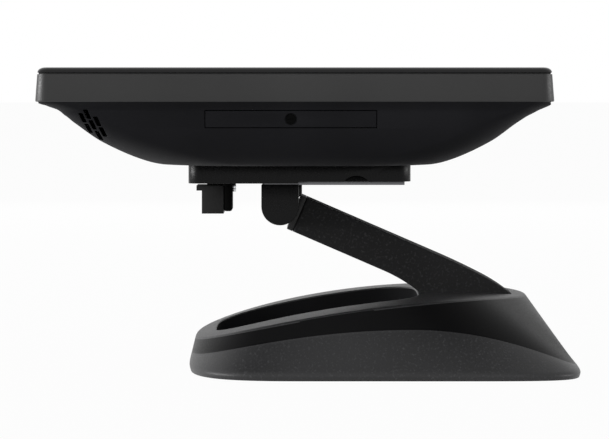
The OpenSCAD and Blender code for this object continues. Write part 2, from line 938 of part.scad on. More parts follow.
module latch_screw() {
    color([0.75, 0.75, 0.77])
    translate([0, latch_y + part_gap + 5.2, mount_z - 3.8])
    rotate([90, 0, 0])
    mirror([0, 0, 1]) {
        difference() {
            cylinder(r = 3.4, h = 2.2, $fn = 32);
            translate([-3, -0.5, 1.5]) cube([6, 1, 2]);
        }
    }
}

// ---- arm ----

along = [cos(arm_dip), -sin(arm_dip)];
above = [sin(arm_dip), cos(arm_dip)];
arm_from = [tilt_y, tilt_z] - arm_offset * above;

// A stretch that turns steadily downwards, from dip a1 to dip a2
function bend(p, r, a1, a2, n) = [
    for (i = [1:n])
        let (a = a1 + (a2 - a1) * i / n)
        p + r * [sin(a) - sin(a1), cos(a) - cos(a1)]
];

function last(list) = list[len(list) - 1];

top_start = arm_from + arm_start * along + arm_t / 2 * above;
low_start = arm_from + arm_start * along - arm_t / 2 * above;
top_turn = top_start + arm_straight * along;
low_turn = low_start + (low_straight - arm_start) * along;
top_easy = bend(top_turn, easy_r, arm_dip, arm_dip + 4, 3);
top_firm = bend(last(top_easy), firm_r, arm_dip + 4, arm_dip + 15, 5);
top_tight = bend(last(top_firm), tight_r, arm_dip + 15, 90, 6);
low_easy = bend(low_turn, low_r, arm_dip, arm_dip + 20, 7);
low_tight = bend(last(low_easy), tight_r, arm_dip + 20, 90, 5);
root_rear = last(top_tight)[0];
root_front = last(low_tight)[0];
arm_outline = concat(
    [top_start, top_turn],
    top_easy,
    top_firm,
    top_tight,
    [[root_rear, root_z], [root_front, root_z]],
    [for (i = [len(low_tight) - 1:-1:0]) low_tight[i]],
    [for (i = [len(low_easy) - 1:-1:0]) low_easy[i]],
    [low_turn, low_start]
);

// Turns a side outline, drawn in Y and Z, into a slab along X
module slab(x0, x1) {
    translate([x0, 0, 0]) rotate([90, 0, 90]) linear_extrude(x1 - x0) children();
}

module arm_half(side) {
    color([0.14, 0.14, 0.145])
    mirror([side > 0 ? 0 : 1, 0, 0])
    difference() {
        slab(0.05, arm_w / 2) polygon(arm_outline);
        slab(-1, arm_w / 2 - arm_wall) offset(delta = -arm_wall) polygon(arm_outline);
        slab(-1, arm_w / 2 - arm_wall) {
            polygon([
                top_start + 3 * along - arm_wall * above,
                top_start - 3 * along - arm_wall * above,
                low_start - 3 * along + arm_wall * above,
                low_start + 3 * along + arm_wall * above
            ]);
            translate([root_front + arm_wall, root_z - 1])
            square([root_rear - root_front - 2 * arm_wall, 5]);
        }
    }
}

module arm_shell_right() {
    arm_half(1);
}

module arm_shell_left() {
    arm_half(-1);
}

module arm_core() {
    web = 15;
    gap = arm_wall + 0.8;
    web_top = (top_turn + low_turn) / 2 + 4 * along + 6 * above;
    web_low = bend(low_turn + gap * above, low_r + gap, arm_dip, arm_dip + 20, 5);
    color([0.16, 0.16, 0.165])
    difference() {
        union() {
            translate([0, tilt_y, tilt_z]) bar_x(barrel_r, -barrel_w / 2, barrel_w / 2);
            slab(-barrel_w / 2, barrel_w / 2) polygon([
                arm_from + collar_start * along + arm_t / 2 * above,
                top_start - part_gap * along,
                low_start - part_gap * along,
                arm_from + collar_start * along - arm_t / 2 * above
            ]);
            slab(-web, web) polygon(concat(
                [
                    arm_from + 6 * above,
                    web_top,
                    [root_rear - gap, root_z + 5],
                    [root_rear - gap, root_z - 1],
                    [root_front + gap, root_z - 1],
                    [root_front + gap, root_z + 1]
                ],
                [for (i = [len(web_low) - 1:-1:0]) web_low[i]],
                [low_turn + gap * above, arm_from - 6 * above]
            ));
            translate([-arm_w / 2, root_front, plate_top]) {
                cube([arm_w, root_rear - root_front, root_z - plate_top]);
            }
        }
        translate([0, tilt_y, tilt_z]) bar_x(shaft_r + shaft_fit, -arm_w, arm_w);
        for_root_bolts() translate([0, 0, plate_top - 1])
        cylinder(r = root_bolt_r + screw_gap, h = 21, $fn = 32);
    }
}

module for_root_bolts() {
    for (sx = [-1, 1], y = root_bolt_y) {
        translate([sx * root_bolt_x, y, 0]) children();
    }
}

module hinge_shaft() {
    color([0.7, 0.71, 0.73])
    translate([0, tilt_y, tilt_z])
    bar_x(shaft_r, -shaft_end, shaft_end);
}

module on_shaft(side, x0, h) {
    translate([0, tilt_y, tilt_z])
    mirror([side > 0 ? 0 : 1, 0, 0])
    translate([x0, 0, 0])
    rotate([0, 90, 0])
    linear_extrude(h)
    children();
}

module friction_washer(side) {
    color([0.5, 0.42, 0.25])
    on_shaft(side, barrel_w / 2 + 0.1, washer_t) difference() {
        circle(r = lug_r - 1, $fn = 48);
        circle(r = shaft_r + shaft_fit, $fn = 48);
    }
}

module friction_washer_right() {
    friction_washer(1);
}

module friction_washer_left() {
    friction_washer(-1);
}

module disc_spring(side) {
    color([0.55, 0.56, 0.58])
    on_shaft(side, spring_x, spring_t) difference() {
        circle(r = lug_r - 1.6, $fn = 48);
        circle(r = shaft_r + shaft_fit, $fn = 48);
    }
}

module disc_spring_right() {
    disc_spring(1);
}

module disc_spring_left() {
    disc_spring(-1);
}

module hinge_nut(side) {
    color([0.68, 0.69, 0.7])
    on_shaft(side, nut_x, nut_t) difference() {
        circle(r = lug_r - 1.4, $fn = 6);
        circle(r = shaft_r + shaft_fit, $fn = 48);
    }
}

module hinge_nut_right() {
    hinge_nut(1);
}

module hinge_nut_left() {
    hinge_nut(-1);
}

// ---- stand ----

// Distance from the ray centre to an outline in the direction a
function reach(a, half_w, front, rear, n_front, n_rear) =
    let (b = sin(a) < 0 ? front : rear)
    let (n = sin(a) < 0 ? n_front : n_rear)
    pow(pow(abs(cos(a)) / half_w, n) + pow(abs(sin(a)) / b, n), -1 / n);

function table_edge(a) = reach(a, stand_w / 2, stand_front + ray_y, stand_rear - ray_y, 3.6, 9);
function rim_edge(a) = reach(a, rim_w / 2, rim_front + ray_y, rim_rear - ray_y, 2.6, 2.1);
function well_edge(a) = reach(a, well_w / 2, well_front, well_rear, 4, 4);
function crest(y) = rim_rear_h - pow(y - crest_y, 2) / crest_fall;
function crease(y) = crease_h - pow((y - crease_y) / (y < crease_y ? 30.5 : 21.5), 2);
function on_ray(a, r, z) = [r * cos(a), ray_y + r * sin(a), z];
function ray_height(a, r) = crest(ray_y + r * sin(a));

// How far down the straight line from rim to table the crease's surface cuts it, found step by step
function crease_share(a, share, steps) =
    let (t = rim_edge(a))
    let (r = t + (table_edge(a) - t) * share)
    let (top = ray_height(a, t))
    steps == 0
        ? share
        : crease_share(a, (top - crease(ray_y + r * sin(a))) / (top - stand_lift - skirt_h), steps - 1);

// The crease lies a little inside the straight line from rim to table
function crease_edge(a) =
    rim_edge(a) + (table_edge(a) - rim_edge(a)) * crease_share(a, 0.5, 8) - crease_knee * pow(cos(a), 4);

function deck_height(a, r) =
    let (share = (rim_edge(a) - r) / (rim_edge(a) - well_edge(a)))
    ray_height(a, r) + deck_rise * share;

function outer_points(a, inset) =
    let (t = rim_edge(a) - inset)
    let (w = well_edge(a) + inset)
    let (c = crease_edge(a) - inset)
    [
        on_ray(a, table_edge(a) - skirt_lean - inset, stand_lift),
        on_ray(a, table_edge(a) - inset, stand_lift + skirt_h),
        on_ray(a, c, crease(ray_y + c * sin(a))),
        on_ray(a, t, deck_height(a, t) - 1.5 - inset),
        on_ray(a, t - 0.5, deck_height(a, t) - 0.4 - inset),
        on_ray(a, t - 1.6, deck_height(a, t) - inset),
        on_ray(a, (t + w) / 2, deck_height(a, (t + w) / 2) - inset),
        on_ray(a, w + 1.6, deck_height(a, w) - inset),
        on_ray(a, w + 0.5, deck_height(a, w) - 0.4 - inset),
        on_ray(a, w, deck_height(a, w) - 1.5 - inset),
        on_ray(a, w, stand_lift)
    ];

// The skin goes up the outside, over the rim, down the well and back inside
function shell_section(a) =
    let (outside = outer_points(a, 0))
    let (inside = outer_points(a, stand_wall))
    concat(outside, [for (i = [len(inside) - 1:-1:0]) inside[i]]);

module base_shell() {
    color([0.13, 0.13, 0.135])
    moulding()
    difference() {
        union() {
            ring_loft([for (k = [0:rays - 1]) shell_section(ray_step * k)]);
            for (p = posts) {
                translate([p[0], p[1], plate_top]) {
                    cylinder(r = post_r, h = crest(p[1]) - plate_top - 2.2, $fn = 32);
                }
            }
        }
        for (p = posts) translate([p[0], p[1], plate_top - 1]) cylinder(r = post_screw_r, h = 10, $fn = 24);
        slab(-arm_w / 2 - part_gap, arm_w / 2 + part_gap) offset(delta = part_gap) polygon(arm_outline);
    }
}

// The skirt leans in at its foot and again as it rises: the base plate clears both
function plate_edge(a) =
    let (rise = (plate_top - stand_lift) / (crease(ray_y + crease_edge(a) * sin(a)) - stand_lift))
    table_edge(a) - max((table_edge(a) - crease_edge(a)) * rise, skirt_lean) - stand_wall - part_gap;

module ring_outline() {
    difference() {
        polygon([
            for (k = [0:rays - 1])
                let (a = ray_step * k)
                on_table(a, plate_edge(a))
        ]);
        polygon([
            for (k = [0:rays - 1])
                let (a = ray_step * k)
                on_table(a, well_edge(a) + stand_wall + part_gap)
        ]);
    }
}

function on_table(a, r) = [r * cos(a), ray_y + r * sin(a)];

module base_plate() {
    color([0.25, 0.25, 0.26])
    difference() {
        translate([0, 0, plate_z]) linear_extrude(plate_t) ring_outline();
        for_feet() translate([0, 0, plate_z - 1])
        cylinder(r = foot_r + 0.2, h = 1 + foot_h - plate_z, $fn = 48);
        for_root_bolts() {
            translate([0, 0, plate_z - 1]) cylinder(r = root_bolt_r + screw_gap, h = plate_t + 2, $fn = 32);
            translate([0, 0, plate_z - 1]) cylinder(r = root_bolt_head_r + 0.3, h = 2.2, $fn = 32);
        }
        for (p = posts) translate([p[0], p[1], plate_z - 1])
        cylinder(r = post_screw_r, h = plate_t + 2, $fn = 24);
    }
}

// Two cast bars, one along each side of the well
module base_ballast() {
    color([0.3, 0.3, 0.31])
    for (s = [-1, 1]) {
        translate([s * (well_w / 2 + 17), ballast_y, plate_top]) plate(ballast_w, ballast_l, ballast_t, 5);
    }
}

module for_feet() {
    for (sx = [-1, 1]) {
        translate([sx * foot_x, -foot_front, 0]) children();
        translate([sx * foot_x, foot_back, 0]) children();
    }
}

module rubber_foot(i) {
    sx = i % 2 == 0 ? -1 : 1;
    y = i < 2 ? -foot_front : foot_back;
    color([0.05, 0.05, 0.05])
    translate([sx * foot_x, y, 0]) cylinder(r = foot_r, h = foot_h, $fn = 48);
}

module root_bolts() {
    color([0.3, 0.3, 0.31])
    for_root_bolts() translate([0, 0, plate_z + 0.1]) {
        screw(root_bolt_head_r, 1.1, root_bolt_r, plate_t + 16, 1.8);
    }
}

module base_screws() {
    color([0.3, 0.3, 0.31])
    for (p = posts) {
        translate([p[0], p[1], plate_z - 0.9])
        screw(post_screw_r + 1.4, 0.9, post_screw_r - screw_gap, plate_t + 8, 0.9);
    }
}

touch_glass();
glass_gasket();
front_bezel();
lcd_panel();
chassis_plate();
mainboard();
processor_heatsink();
memory_module();
io_ports();
io_bracket();
speaker_right();
speaker_left();
rear_cover();
cover_screw(0);  // cover_screw_1
cover_screw(1);  // cover_screw_2
cover_screw(2);  // cover_screw_3
cover_screw(3);  // cover_screw_4
power_button();
power_switch();
drive_cage();
drive_door();
drive_tray();
ssd_drive();
door_thumbscrew();
backing_plate();
vesa_plate();
mount_cover();
mount_cover_plug();
tilt_bracket();
mount_screw(0);  // mount_screw_1
mount_screw(1);  // mount_screw_2
mount_screw(2);  // mount_screw_3
mount_screw(3);  // mount_screw_4
hinge_cover_right();
hinge_cover_left();
latch_housing();
release_latch();
latch_spring();
latch_screw();
arm_core();
arm_shell_right();
arm_shell_left();
hinge_shaft();
friction_washer_right();
friction_washer_left();
disc_spring_right();
disc_spring_left();
hinge_nut_right();
hinge_nut_left();
base_shell();
base_plate();
base_ballast();
rubber_foot(0);  // rubber_foot_1
rubber_foot(1);  // rubber_foot_2
rubber_foot(2);  // rubber_foot_3
rubber_foot(3);  // rubber_foot_4
root_bolts();
base_screws();
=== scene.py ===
import json
import math

import bpy
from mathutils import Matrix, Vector


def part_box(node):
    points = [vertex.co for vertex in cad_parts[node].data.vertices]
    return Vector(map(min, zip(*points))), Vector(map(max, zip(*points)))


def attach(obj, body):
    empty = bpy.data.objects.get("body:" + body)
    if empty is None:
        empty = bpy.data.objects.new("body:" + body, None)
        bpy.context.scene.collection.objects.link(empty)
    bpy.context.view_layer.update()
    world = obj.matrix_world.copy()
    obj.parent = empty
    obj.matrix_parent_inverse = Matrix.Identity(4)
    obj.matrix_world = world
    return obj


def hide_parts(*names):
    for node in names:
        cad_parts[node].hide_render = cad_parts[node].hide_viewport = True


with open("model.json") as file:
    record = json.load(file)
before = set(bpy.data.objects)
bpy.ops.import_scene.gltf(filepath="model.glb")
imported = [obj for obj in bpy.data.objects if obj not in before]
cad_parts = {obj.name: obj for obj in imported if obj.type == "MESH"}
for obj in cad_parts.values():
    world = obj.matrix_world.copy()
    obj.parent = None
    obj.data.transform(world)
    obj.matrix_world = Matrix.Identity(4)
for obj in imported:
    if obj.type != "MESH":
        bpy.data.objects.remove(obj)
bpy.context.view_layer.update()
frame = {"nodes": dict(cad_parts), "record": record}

# A counter touchscreen terminal. Most solids are shown as they are, with rounded edges and a finish. The
# skins whose curves show are built again here, finer, in the same places. Lengths are in millimetres.

MM = 0.001
DEG = math.pi / 180
FAR = 400      # past the part on any side
OVERCUT = 1    # how far a cut runs past the face that it opens


def corners_of(node):
    """A CAD node's lowest and highest corners, in millimetres."""
    low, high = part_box(node)
    return [v / MM for v in low], [v / MM for v in high]


def middle_of(node):
    low, high = corners_of(node)
    return [(a + b) / 2 for a, b in zip(low, high)]


# ---- modifiers ----

BEVEL_ANGLE = 32     # edges that turn by more than this are rounded, in degrees
SMOOTH_ANGLE = 25    # edges that turn by more than this stay hard, in degrees
FLAT_ANGLE = 0.3     # faces that turn by less than this are one flat face, in degrees
WELD_GAP = 0.002     # corners nearer than this are joined


def socketed_group(name):
    group = bpy.data.node_groups.new(name, "GeometryNodeTree")
    group.interface.new_socket("Geometry", in_out="INPUT", socket_type="NodeSocketGeometry")
    group.interface.new_socket("Geometry", in_out="OUTPUT", socket_type="NodeSocketGeometry")
    return group, group.nodes.new("NodeGroupInput"), group.nodes.new("NodeGroupOutput")


def clean_group():
    """Joins the corners that the solids' faces share, and drops their stored normals."""
    group, start, end = socketed_group("clean")
    drop = group.nodes.new("GeometryNodeRemoveAttribute")
    drop.inputs["Name"].default_value = "custom_normal"
    weld = group.nodes.new("GeometryNodeMergeByDistance")
    weld.inputs["Distance"].default_value = WELD_GAP * MM
    group.links.new(start.outputs[0], drop.inputs["Geometry"])
    group.links.new(drop.outputs[0], weld.inputs["Geometry"])
    group.links.new(weld.outputs[0], end.inputs[0])
    return group


def smooth_group():
    """Smooth shading, with a hard edge wherever the faces turn by more than the angle."""
    group, start, end = socketed_group("smooth")
    faces = group.nodes.new("GeometryNodeSetShadeSmooth")
    edges = group.nodes.new("GeometryNodeSetShadeSmooth")
    edges.domain = "EDGE"
    edges.inputs["Shade Smooth"].default_value = False
    angle = group.nodes.new("GeometryNodeInputMeshEdgeAngle")
    over = group.nodes.new("FunctionNodeCompare")
    over.operation = "GREATER_THAN"
    over.inputs[1].default_value = SMOOTH_ANGLE * DEG
    group.links.new(start.outputs[0], faces.inputs["Geometry"])
    group.links.new(faces.outputs[0], edges.inputs["Geometry"])
    group.links.new(angle.outputs["Unsigned Angle"], over.inputs[0])
    group.links.new(over.outputs[0], edges.inputs["Selection"])
    group.links.new(edges.outputs[0], end.inputs[0])
    return group


CLEAN = clean_group()
SMOOTH = smooth_group()


def round_edges(obj, width):
    bevel = obj.modifiers.new("edges", "BEVEL")
    bevel.width = width * MM
    bevel.segments = 2
    bevel.limit_method = "ANGLE"
    bevel.angle_limit = BEVEL_ANGLE * DEG
    bevel.miter_outer = "MITER_ARC"


def dress(obj, bevel):
    """Small rounded edges and smooth curved faces on a CAD node."""
    obj.modifiers.new("clean", "NODES").node_group = CLEAN
    flat = obj.modifiers.new("flat", "DECIMATE")
    flat.decimate_type = "DISSOLVE"
    flat.angle_limit = FLAT_ANGLE * DEG
    if bevel:
        round_edges(obj, bevel)
    obj.modifiers.new("smooth", "NODES").node_group = SMOOTH


# ---- mesh building: a form is a list of points and a list of faces ----

CIRCLE_STEPS = 40


def loft(loops):
    """A closed solid through loops that run anticlockwise as seen from the last one's side."""
    m = len(loops[0])
    faces = [list(range(m))[::-1], [(len(loops) - 1) * m + i for i in range(m)]]
    for k in range(len(loops) - 1):
        for i in range(m):
            j = (i + 1) % m
            faces.append([k * m + i, k * m + j, (k + 1) * m + j, (k + 1) * m + i])
    return [tuple(p) for loop in loops for p in loop], faces


def ring_loft(sections):
    """A closed ring through sections, the last of which joins the first."""
    n, m = len(sections), len(sections[0])
    faces = []
    for k in range(n):
        after = (k + 1) % n
        for i in range(m):
            j = (i + 1) % m
            faces.append([k * m + i, after * m + i, after * m + j, k * m + j])
    return [tuple(p) for section in sections for p in section], faces


def slab(outline, x0, x1):
    """A side outline, anticlockwise in Y and Z, drawn out along X."""
    return loft([[(x, y, z) for y, z in outline] for x in (x0, x1)])


def block(low, high):
    outline = [(low[1], low[2]), (high[1], low[2]), (high[1], high[2]), (low[1], high[2])]
    return slab(outline, low[0], high[0])


def circle():
    return [2 * math.pi * i / CIRCLE_STEPS for i in range(CIRCLE_STEPS)]


def rod(x0, x1, y, z, radius):
    return slab([(y + radius * math.cos(a), z + radius * math.sin(a)) for a in circle()], x0, x1)


def post(x, y, z0, z1, radius):
    outline = [(x + radius * math.cos(a), y + radius * math.sin(a)) for a in circle()]
    return loft([[(*point, z) for point in outline] for z in (z0, z1)])


def rounded_loop(width, depth, radius, centre_y, z, steps):
    """An anticlockwise rounded rectangle in plan, centred on X = 0."""
    across, along = width / 2 - radius, depth / 2 - radius
    loop = []
    for quarter, (sx, sy) in enumerate(((1, 1), (-1, 1), (-1, -1), (1, -1))):
        for i in range(steps + 1):
            a = (quarter + i / steps) * math.pi / 2
            loop.append((sx * across + radius * math.cos(a), centre_y + sy * along + radius * math.sin(a), z))
    return loop


def rounded_corner(before, corner, after, back, on, steps):
    """Points that round a corner off, from one distance before it to another after it."""
    start = corner + (before - corner).normalized() * back
    end = corner + (after - corner).normalized() * on
    ways = [k / steps for k in range(steps + 1)]
    return [start * (1 - t) ** 2 + corner * 2 * t * (1 - t) + end * t ** 2 for t in ways]


def offset_outline(outline, gap):
    """An anticlockwise outline, grown by the gap, or shrunk where it is negative."""
    sharpest = 0.4    # keeps a sharp corner from running far out
    grown = []
    for i, here in enumerate(outline):
        a = (here - outline[i - 1]).normalized()
        b = (outline[(i + 1) % len(outline)] - here).normalized()
        out = Vector((a.y + b.y, -a.x - b.x)).normalized()
        grown.append(here + out * gap / max(out.dot(Vector((a.y, -a.x))), sharpest))
    return grown


def make(name, form):
    points, faces = form
    mesh = bpy.data.meshes.new(name)
    mesh.from_pydata([[c * MM for c in p] for p in points], [], faces)
    obj = bpy.data.objects.new(name, mesh)
    bpy.context.scene.collection.objects.link(obj)
    return obj


def settle(obj):
    """Applies the object's modifiers."""
    graph = bpy.context.evaluated_depsgraph_get()
    mesh = bpy.data.meshes.new_from_object(obj.evaluated_get(graph))
    obj.modifiers.clear()
    obj.data = mesh


def combine_with(obj, tool, operation):
    """Cuts another object from this one, joins it on or keeps what they share. The other one is used up."""
    step = obj.modifiers.new("step", "BOOLEAN")
    step.operation = operation
    step.solver = "MANIFOLD"
    step.object = tool
    settle(obj)
    bpy.data.objects.remove(tool)


def combine(obj, form, operation):
    combine_with(obj, make("tool", form), operation)


def finish_piece(obj, body, material_slot, node, bevel):
    """Gives a piece its edges and finish, and lets it stand for a CAD node on a body."""
    obj.modifiers.new("clean", "NODES").node_group = CLEAN
    if bevel:
        round_edges(obj, bevel)
    obj.modifiers.new("smooth", "NODES").node_group = SMOOTH
    obj.data.materials.clear()
    obj.data.materials.append(MATERIALS[material_slot])
    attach(obj, body)
    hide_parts(node)


# ---- materials. A noise's scale is in cells per metre, and a bump's depth in millimetres ----

CLOUD_SPREAD = 0.18, 0.1   # how much the colour of plastics and of metals varies, as a share
PANEL_RIM = 22, 26         # how much wider and longer the display module is than its picture
PRINT_BLACK = (0.0025, 0.0025, 0.0028)
PICTURE_GREY = (0.010, 0.0105, 0.012)
MASK_GREEN = (0.01, 0.06, 0.025, 1)
MASK_PALE = (0.012, 0.08, 0.03, 1)
TRACK_GREEN = (0.05, 0.16, 0.06, 1)


def new_material(name):
    material = bpy.data.materials.new(name)
    material.use_nodes = True
    tree = material.node_tree
    place = tree.nodes.new("ShaderNodeTexCoord")
    return material, tree, tree.nodes["Principled BSDF"], place.outputs["Object"]


def noise(tree, place, scale, detail=4.0, roughness=0.5):
    node = tree.nodes.new("ShaderNodeTexNoise")
    node.inputs["Scale"].default_value = scale
    node.inputs["Detail"].default_value = detail
    node.inputs["Roughness"].default_value = roughness
    tree.links.new(place, node.inputs["Vector"])
    return node.outputs["Fac"]


def remap(tree, value, low, high, low_in=0.3, high_in=0.7):
    node = tree.nodes.new("ShaderNodeMapRange")
    node.inputs["From Min"].default_value = low_in
    node.inputs["From Max"].default_value = high_in
    node.inputs["To Min"].default_value = low
    node.inputs["To Max"].default_value = high
    tree.links.new(value, node.inputs["Value"])
    return node.outputs["Result"]


def arithmetic(tree, operation, a, b):
    """A Math node on two sockets."""
    node = tree.nodes.new("ShaderNodeMath")
    node.operation = operation
    tree.links.new(a, node.inputs[0])
    tree.links.new(b, node.inputs[1])
    return node.outputs[0]


def mixed(tree, share, a, b):
    """Mixes two colours by a share. The first is a colour or a socket."""
    node = tree.nodes.new("ShaderNodeMix")
    node.data_type = "RGBA"
    node.inputs["B"].default_value = (*b, 1)
    if isinstance(a, tuple):
        node.inputs["A"].default_value = (*a, 1)
    else:
        tree.links.new(a, node.inputs["A"])
    tree.links.new(share, node.inputs["Factor"])
    return node.outputs["Result"]


def scaled(colour, factor):
    return tuple(c * factor for c in colour)


def clouded(tree, place, scale, colour, spread):
    """A colour that varies a little over the surface."""
    share = remap(tree, noise(tree, place, scale, 3), 0, 1)
    return mixed(tree, share, scaled(colour, 1 - spread), scaled(colour, 1 + spread))


def bump(tree, shader, height, strength, depth):
    node = tree.nodes.new("ShaderNodeBump")
    node.inputs["Strength"].default_value = strength
    node.inputs["Distance"].default_value = depth * MM
    tree.links.new(height, node.inputs["Height"])
    tree.links.new(node.outputs["Normal"], shader.inputs["Normal"])


def grained(name, colour, rough, grain, depth, gloss=0.5, speck=0.0):
    """Moulded plastic or paint: fine grain in the surface, cloudy colour, and worn specks."""
    material, tree, shader, place = new_material(name)
    fine = noise(tree, place, grain, 2, 0.6)
    shade = clouded(tree, place, 14, colour, CLOUD_SPREAD[0])
    if speck:
        shade = mixed(tree, remap(tree, fine, 0, 1, 0.55, 0.75), shade, scaled(colour, 1 + speck))
    tree.links.new(shade, shader.inputs["Base Color"])
    tree.links.new(remap(tree, fine, rough - 0.06, rough + 0.06), shader.inputs["Roughness"])
    shader.inputs["Specular IOR Level"].default_value = gloss
    bump(tree, shader, fine, 0.6, depth)
    return material


def metal(name, colour, rough, brushed=(1, 1, 1)):
    """Sheet or turned metal: streaks along one direction, and cloudy colour."""
    material, tree, shader, place = new_material(name)
    stretch = tree.nodes.new("ShaderNodeMapping")
    stretch.inputs["Scale"].default_value = brushed
    tree.links.new(place, stretch.inputs["Vector"])
    streak = noise(tree, stretch.outputs["Vector"], 600, 3)
    tree.links.new(clouded(tree, place, 25, colour, CLOUD_SPREAD[1]), shader.inputs["Base Color"])
    tree.links.new(remap(tree, streak, rough - 0.08, rough + 0.1), shader.inputs["Roughness"])
    shader.inputs["Metallic"].default_value = 1.0
    bump(tree, shader, streak, 0.4, 0.01)
    return material


def inside_band(tree, coordinate, centre, half):
    """1 where a coordinate lies within a distance of the centre, otherwise 0."""
    node = tree.nodes.new("ShaderNodeMath")
    node.operation = "COMPARE"
    node.inputs[1].default_value = centre * MM
    node.inputs[2].default_value = half * MM
    tree.links.new(coordinate, node.inputs[0])
    return node.outputs[0]


def screen_glass(name):
    """Touch glass: black print round the picture, which is a little greyer, and faint smears in the gloss."""
    material, tree, shader, place = new_material(name)
    low, high = corners_of("lcd_panel")
    width, length = high[0] - low[0] - PANEL_RIM[0], high[1] - low[1] - PANEL_RIM[1]
    axes = tree.nodes.new("ShaderNodeSeparateXYZ")
    tree.links.new(place, axes.inputs[0])
    across = inside_band(tree, axes.outputs["X"], 0, width / 2)
    along = inside_band(tree, axes.outputs["Y"], (low[1] + high[1]) / 2, length / 2)
    picture = arithmetic(tree, "MULTIPLY", across, along)
    tree.links.new(mixed(tree, picture, PRINT_BLACK, PICTURE_GREY), shader.inputs["Base Color"])
    tree.links.new(remap(tree, noise(tree, place, 9, 6, 0.6), 0.07, 0.11), shader.inputs["Roughness"])
    shader.inputs["Specular IOR Level"].default_value = 0.26
    bump(tree, shader, noise(tree, place, 120, 2), 0.05, 0.01)
    return material


def circuit(name):
    """Green solder mask with lighter copper tracks under it."""
    material, tree, shader, place = new_material(name)
    tracks = tree.nodes.new("ShaderNodeTexBrick")
    tracks.inputs["Scale"].default_value = 120
    tracks.inputs["Mortar Size"].default_value = 0.05
    tracks.inputs["Color1"].default_value = MASK_GREEN
    tracks.inputs["Color2"].default_value = MASK_PALE
    tracks.inputs["Mortar"].default_value = TRACK_GREEN
    tree.links.new(place, tracks.inputs["Vector"])
    tree.links.new(tracks.outputs["Color"], shader.inputs["Base Color"])
    tree.links.new(remap(tree, noise(tree, place, 60), 0.3, 0.45), shader.inputs["Roughness"])
    bump(tree, shader, tracks.outputs["Fac"], 0.3, 0.03)
    return material


# Plastics, rubbers and paints: colour, roughness, the grain's scale and depth, gloss and brightness of specks
GRAINED = {
    "gasket_foam": ((0.012, 0.012, 0.012), 0.9, 1500, 0.1),
    "bezel_plastic": ((0.012, 0.012, 0.012), 0.42, 1100, 0.02, 0.42),
    "cover_plastic": ((0.0118, 0.0118, 0.0132), 0.6, 1300, 0.015, 0.03),
    "port_metal": ((0.12, 0.12, 0.13), 0.4, 900, 0.02),
    # Near black: the speakers' own black, partly painted shade seen through the vent slots in front of them
    "speaker_black": ((0.003, 0.003, 0.003), 0.8, 500, 0.1, 0.05),
    "screw_black": ((0.02, 0.02, 0.021), 0.38, 1500, 0.02, 0.6),
    # Near black: a black thumb screw whose colour also carries painted shade of the hole it sits in
    "black_thumbscrew_and_hole_shade": ((0.0006, 0.0006, 0.0006), 0.4, 1500, 0.02, 0.04),
    "button_plastic": ((0.02, 0.02, 0.021), 0.35, 1200, 0.02),
    "drive_case": ((0.04, 0.042, 0.045), 0.4, 900, 0.02),
    "mount_plastic": ((0.0035, 0.0035, 0.0037), 0.3, 750, 0.05, 0.13),
    "latch_plastic": ((0.013, 0.013, 0.013), 0.5, 900, 0.05, 0.2),
    # Near black: the latch housing's own colour, and on the drive cage and tray painted shade in the groove
    # round the drive door
    "black_latch_and_groove_shade": ((0.002, 0.002, 0.002), 0.6, 900, 0.03, 0.04),
    "arm_plastic": ((0.0125, 0.0125, 0.0128), 0.7, 650, 0.08, 0.08, 1.5),
    "arm_casting": ((0.01, 0.01, 0.01), 0.5, 700, 0.08, 0.3),
    "stand_plastic": ((0.0172, 0.0172, 0.018), 0.45, 650, 0.14, 0.33, 1.3),
    # The next two colours are painted shade, much darker than the skin: the stand's smooth steep wall above
    # the crease, and the well's walls
    "stand_smooth_painted_shade": ((0.0018, 0.0018, 0.002), 0.4, 1200, 0.01, 0.07),
    "well_painted_shade": ((0.008, 0.008, 0.0085), 0.8, 1200, 0.03, 0.01),
    "plate_steel": ((0.02, 0.02, 0.02), 0.5, 700, 0.05),
    "ballast_iron": ((0.05, 0.05, 0.05), 0.75, 400, 0.3),
    "foot_rubber": ((0.012, 0.012, 0.012), 0.85, 600, 0.1),
}
# Metals: colour, roughness and how the streaks are stretched
METALS = {
    "panel_module": ((0.55, 0.56, 0.58), 0.35, (1, 8, 1)),
    "sheet_steel": ((0.58, 0.59, 0.6), 0.35, (8, 1, 8)),
    "heatsink_aluminium": ((0.7, 0.71, 0.73), 0.4, (1, 12, 1)),
    "bracket_steel": ((0.14, 0.14, 0.147), 0.3, (1, 10, 1)),
    "bright_steel": ((0.7, 0.71, 0.73), 0.25, (6, 1, 1)),
    "washer_bronze": ((0.5, 0.36, 0.16), 0.35),
}
MATERIALS = {"touch_glass": screen_glass("touch_glass"), "circuit_board": circuit("circuit_board")}
MATERIALS.update({name: grained(name, *values) for name, values in GRAINED.items()})
MATERIALS.update({name: metal(name, *values) for name, values in METALS.items()})


# ---- CAD nodes that are shown as they are ----

USUAL_EDGE = 0.4
# Edge radius where it isn't the usual one
EDGES = {
    "glass_gasket": 0.0,
    "latch_spring": 0.0,
    "mainboard": 0.0,
    "chassis_plate": 0.0,
    "mount_cover": 1.6,
    "hinge_cover_right": 0.8,
    "hinge_cover_left": 0.8,
    "release_latch": 0.7,
    "latch_housing": 1.5,
}
# Finishes that differ from the rest of their slot
FINISHES = {
    "latch_housing": "black_latch_and_groove_shade",
    # The thumb screw's near black colour is partly painted shade of its hole
    "door_thumbscrew": "black_thumbscrew_and_hole_shade",
    # The drive cage and tray are near black as painted shade, seen through the groove round the drive door
    "drive_cage": "black_latch_and_groove_shade",
    "drive_tray": "black_latch_and_groove_shade",
}
REPLACED = (
    "rear_cover", "drive_door", "front_bezel", "touch_glass",
    "base_shell", "arm_shell_right", "arm_shell_left",
)
slot_of = {part["node"]: part["material_slot"] for part in frame["record"]["subparts"]}


